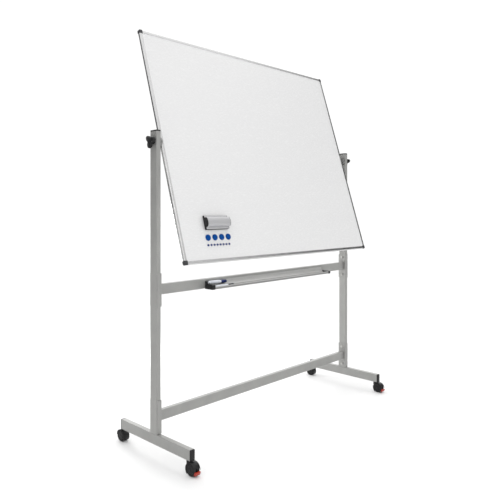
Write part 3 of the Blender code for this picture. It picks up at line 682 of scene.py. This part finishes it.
# ---------------------------------------------------------------- castors
# Twin-wheel castors, all black plastic: a hood over two wheels with hard rubber treads. The front two
# have a red pedal that presses a brake shoe on the wheels.
WHEEL_RADIUS = 0.028
WHEEL_INNER = 0.0036
WHEEL_OUTER = 0.0175
TREAD_INNER = 0.0225
AXLE_RADIUS = 0.003
WHEEL_SIDES = 64
SPOKES = 8
SPOKE_AT = 0.0134
SPOKE_LENGTH = 0.0110
SPOKE_HEIGHT = 0.0022
hood_plastic = finish("hood_plastic", (0.016, 0.016, 0.017), (0.010, 0.010, 0.011), 0.34, grain=1800.0,
                      peel=0.00003, worn=(0.04, 0.04, 0.04), wear_width=0.001, shine=0.25)
tread = finish("castor_tread", (0.022, 0.022, 0.023), (0.013, 0.013, 0.013), 0.6, grain=900.0,
               peel=0.00005, shine=0.25)
pedal_red = finish("pedal_red", (0.43, 0.032, 0.015), (0.34, 0.022, 0.011), 0.38, grain=900.0,
                   worn=(0.62, 0.12, 0.07), wear_width=0.0008)


def castor_wheels(end, side):
    """Two wheels on an axle, each with a grooved tread on a disc with short spokes."""
    node = f"castor_wheels_{end}_{side}"
    body = f"wheels_{end}_{side}"
    low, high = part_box(node)
    middle = [(a + b) / 2 for a, b in zip(low, high)]
    r = WHEEL_RADIUS - 0.0001
    rim = TREAD_INNER
    face = WHEEL_OUTER
    tread_section = [(WHEEL_INNER, rim), (WHEEL_INNER, r - 0.0012), (WHEEL_INNER + 0.0012, r), (0.0080, r),
                     (0.0083, r - 0.0005), (0.0087, r - 0.0005), (0.0090, r), (face - 0.0042, r),
                     (face - 0.0018, r - 0.0010), (face - 0.0005, r - 0.0026), (face - 0.0003, rim)]
    disc_section = [(WHEEL_INNER + 0.0002, 0.0), (WHEEL_INNER + 0.0002, rim - 0.0001),
                    (face - 0.0010, rim - 0.0001), (face - 0.0014, rim - 0.0012),
                    (face - 0.0030, rim - 0.0030), (face - 0.0030, 0.0085), (face - 0.0012, 0.0070),
                    (face - 0.0006, 0.0050), (face - 0.0005, 0.0)]
    face_out = Matrix.Rotation(math.pi / 2, 4, "Y")
    for out in (-1, 1):
        name = "outer" if out * middle[0] > 0 else "inner"
        tyre = turned(tread_section, WHEEL_SIDES, middle, out, hollow=True)
        disc = turned(disc_section, WHEEL_SIDES, middle, out)
        finished(f"tyre_{end}_{side}_{name}", tyre, tread, body)
        finished(f"wheel_disc_{end}_{side}_{name}", disc, hood_plastic, body)
        spokes = grown(f"spokes_{end}_{side}_{name}", ribbing, Count=SPOKES, Radius=SPOKE_AT,
                       Length=SPOKE_HEIGHT, Width=SPOKE_LENGTH, Material=hood_plastic)
        hub_face = (middle[0] + out * (face - SPOKE_HEIGHT), middle[1], middle[2])
        spokes.transform(Matrix.Translation(hub_face) @ face_out)
        finished(f"spokes_{end}_{side}_{name}", spokes, hood_plastic, body)
    axle_end = WHEEL_INNER + 0.0004
    axle = turned([(-axle_end, 0.0), (-axle_end, AXLE_RADIUS), (axle_end, AXLE_RADIUS), (axle_end, 0.0)],
                  24, middle)
    finished(f"axle_{end}_{side}", axle, plated, body)
    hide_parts(node)


for side in sides:
    for end in ("front", "rear"):
        ease(f"castor_housing_{end}_{side}", f"castor_{end}_{side}", hood_plastic, 0.0009)
        castor_wheels(end, side)
    ease(f"brake_pedal_{side}", f"brake_{side}", pedal_red, 0.0010)

# ---------------------------------------------------------------- floor and light
# A pale floor that runs on to the horizon, in a white room that is brightest on its far wall and its
# ceiling. A large soft box hangs in front of the board, and a small one behind lights the right post.
floor_mesh = bpy.data.meshes.new("floor")
FLOOR_REACH = 30.0
floor_corners = ((-1, -1), (1, -1), (1, 1), (-1, 1))
floor_points = [(a * FLOOR_REACH, b * FLOOR_REACH, 0.0) for a, b in floor_corners]
floor_mesh.from_pydata(floor_points, [], [(0, 1, 2, 3)])
floor = bpy.data.objects.new("floor", floor_mesh)
bpy.context.scene.collection.objects.link(floor)
floor_paint = new_material("floor_paint", (0.82, 0.82, 0.82), 0.7)
floor_shader = floor_paint.node_tree.nodes["Principled BSDF"]
floor_roughness = spread(floor_paint, pattern(floor_paint, 2.0), 0.65, 0.75)
join(floor_paint, floor_roughness, floor_shader.inputs["Roughness"])
floor_mesh.materials.append(floor_paint)

world = bpy.data.worlds.new("studio")
world.use_nodes = True
ROOM_LIGHT = 0.60
FAR_WALL_LIGHT = 1.0
CEILING_LIGHT = 0.90
BACKDROP_LIGHT = 1.05
FAR_WALL = (0.723, 0.691, 0.0)
# Dark cloths on the walls: azimuth from +X, elevation, outer and inner edge in degrees, and darkness.
DARK_FLAGS = ((-18, 16, 26, 12, 0.96), (137, 5, 34, 14, 0.95))
room = world.node_tree.nodes["Background"]
room.inputs["Color"].default_value = (1.0, 1.0, 1.0, 1.0)


def room_node(kind, **settings):
    node = world.node_tree.nodes.new(kind)
    for key, value in settings.items():
        setattr(node, key, value)
    return node


def room_sum(operation, first, second):
    node = room_node("ShaderNodeMath", operation=operation)
    for socket, value in zip(node.inputs, (first, second)):
        if isinstance(value, float):
            socket.default_value = value
        else:
            world.node_tree.links.new(value, socket)
    return node.outputs[0]


direction = room_node("ShaderNodeTexCoord").outputs["Generated"]
parts_of_direction = room_node("ShaderNodeSeparateXYZ")
world.node_tree.links.new(direction, parts_of_direction.inputs[0])
towards_wall = room_node("ShaderNodeVectorMath", operation="DOT_PRODUCT")
world.node_tree.links.new(direction, towards_wall.inputs[0])
towards_wall.inputs[1].default_value = FAR_WALL
wall_share = room_sum("MAXIMUM", towards_wall.outputs["Value"], 0.0)
ceiling_share = room_sum("POWER", room_sum("MAXIMUM", parts_of_direction.outputs["Z"], 0.0), 1.5)
glow = room_sum("ADD", room_sum("MULTIPLY", wall_share, FAR_WALL_LIGHT),
                room_sum("MULTIPLY", ceiling_share, CEILING_LIGHT))
glow = room_sum("ADD", glow, ROOM_LIGHT)
for flag_azimuth, flag_rise, flag_edge, flag_core, flag_depth in DARK_FLAGS:
    flag = room_node("ShaderNodeVectorMath", operation="DOT_PRODUCT")
    world.node_tree.links.new(direction, flag.inputs[0])
    level_part = math.cos(math.radians(flag_rise))
    flag.inputs[1].default_value = (level_part * math.cos(math.radians(flag_azimuth)),
                                    level_part * math.sin(math.radians(flag_azimuth)),
                                    math.sin(math.radians(flag_rise)))
    shade = room_node("ShaderNodeMapRange", interpolation_type="SMOOTHSTEP")
    shade.inputs["From Min"].default_value = math.cos(math.radians(flag_edge))
    shade.inputs["From Max"].default_value = math.cos(math.radians(flag_core))
    shade.inputs["To Min"].default_value = 1.0
    shade.inputs["To Max"].default_value = 1.0 - flag_depth
    world.node_tree.links.new(flag.outputs["Value"], shade.inputs["Value"])
    glow = room_sum("MULTIPLY", glow, shade.outputs["Result"])
seen = room_node("ShaderNodeLightPath").outputs["Is Camera Ray"]
level = room_node("ShaderNodeMix")
world.node_tree.links.new(seen, level.inputs[0])
world.node_tree.links.new(glow, level.inputs[2])
level.inputs[3].default_value = BACKDROP_LIGHT
world.node_tree.links.new(level.outputs[0], room.inputs["Strength"])
bpy.context.scene.world = world
bpy.context.scene.view_settings.view_transform = "Standard"


def soft_box(name, place, aim, size, power):
    """A rectangular studio light, aimed at a point."""
    lamp = bpy.data.lights.new(name, "AREA")
    lamp.shape = "RECTANGLE"
    lamp.size = size[0]
    lamp.size_y = size[1]
    lamp.energy = power
    holder = bpy.data.objects.new(name, lamp)
    holder.location = place
    holder.visible_camera = False
    holder.rotation_euler = (Vector(aim) - Vector(place)).to_track_quat("-Z", "Y").to_euler()
    bpy.context.scene.collection.objects.link(holder)


soft_box("front_light", place=(0.2, -3.6, 3.0), aim=(0, 0, 1.2), size=(2.0, 1.6), power=14.0)
soft_box("low_light", place=(-0.2, 2.0, 0.7), aim=(0.76, 0, 0.6), size=(0.8, 0.8), power=22.0)
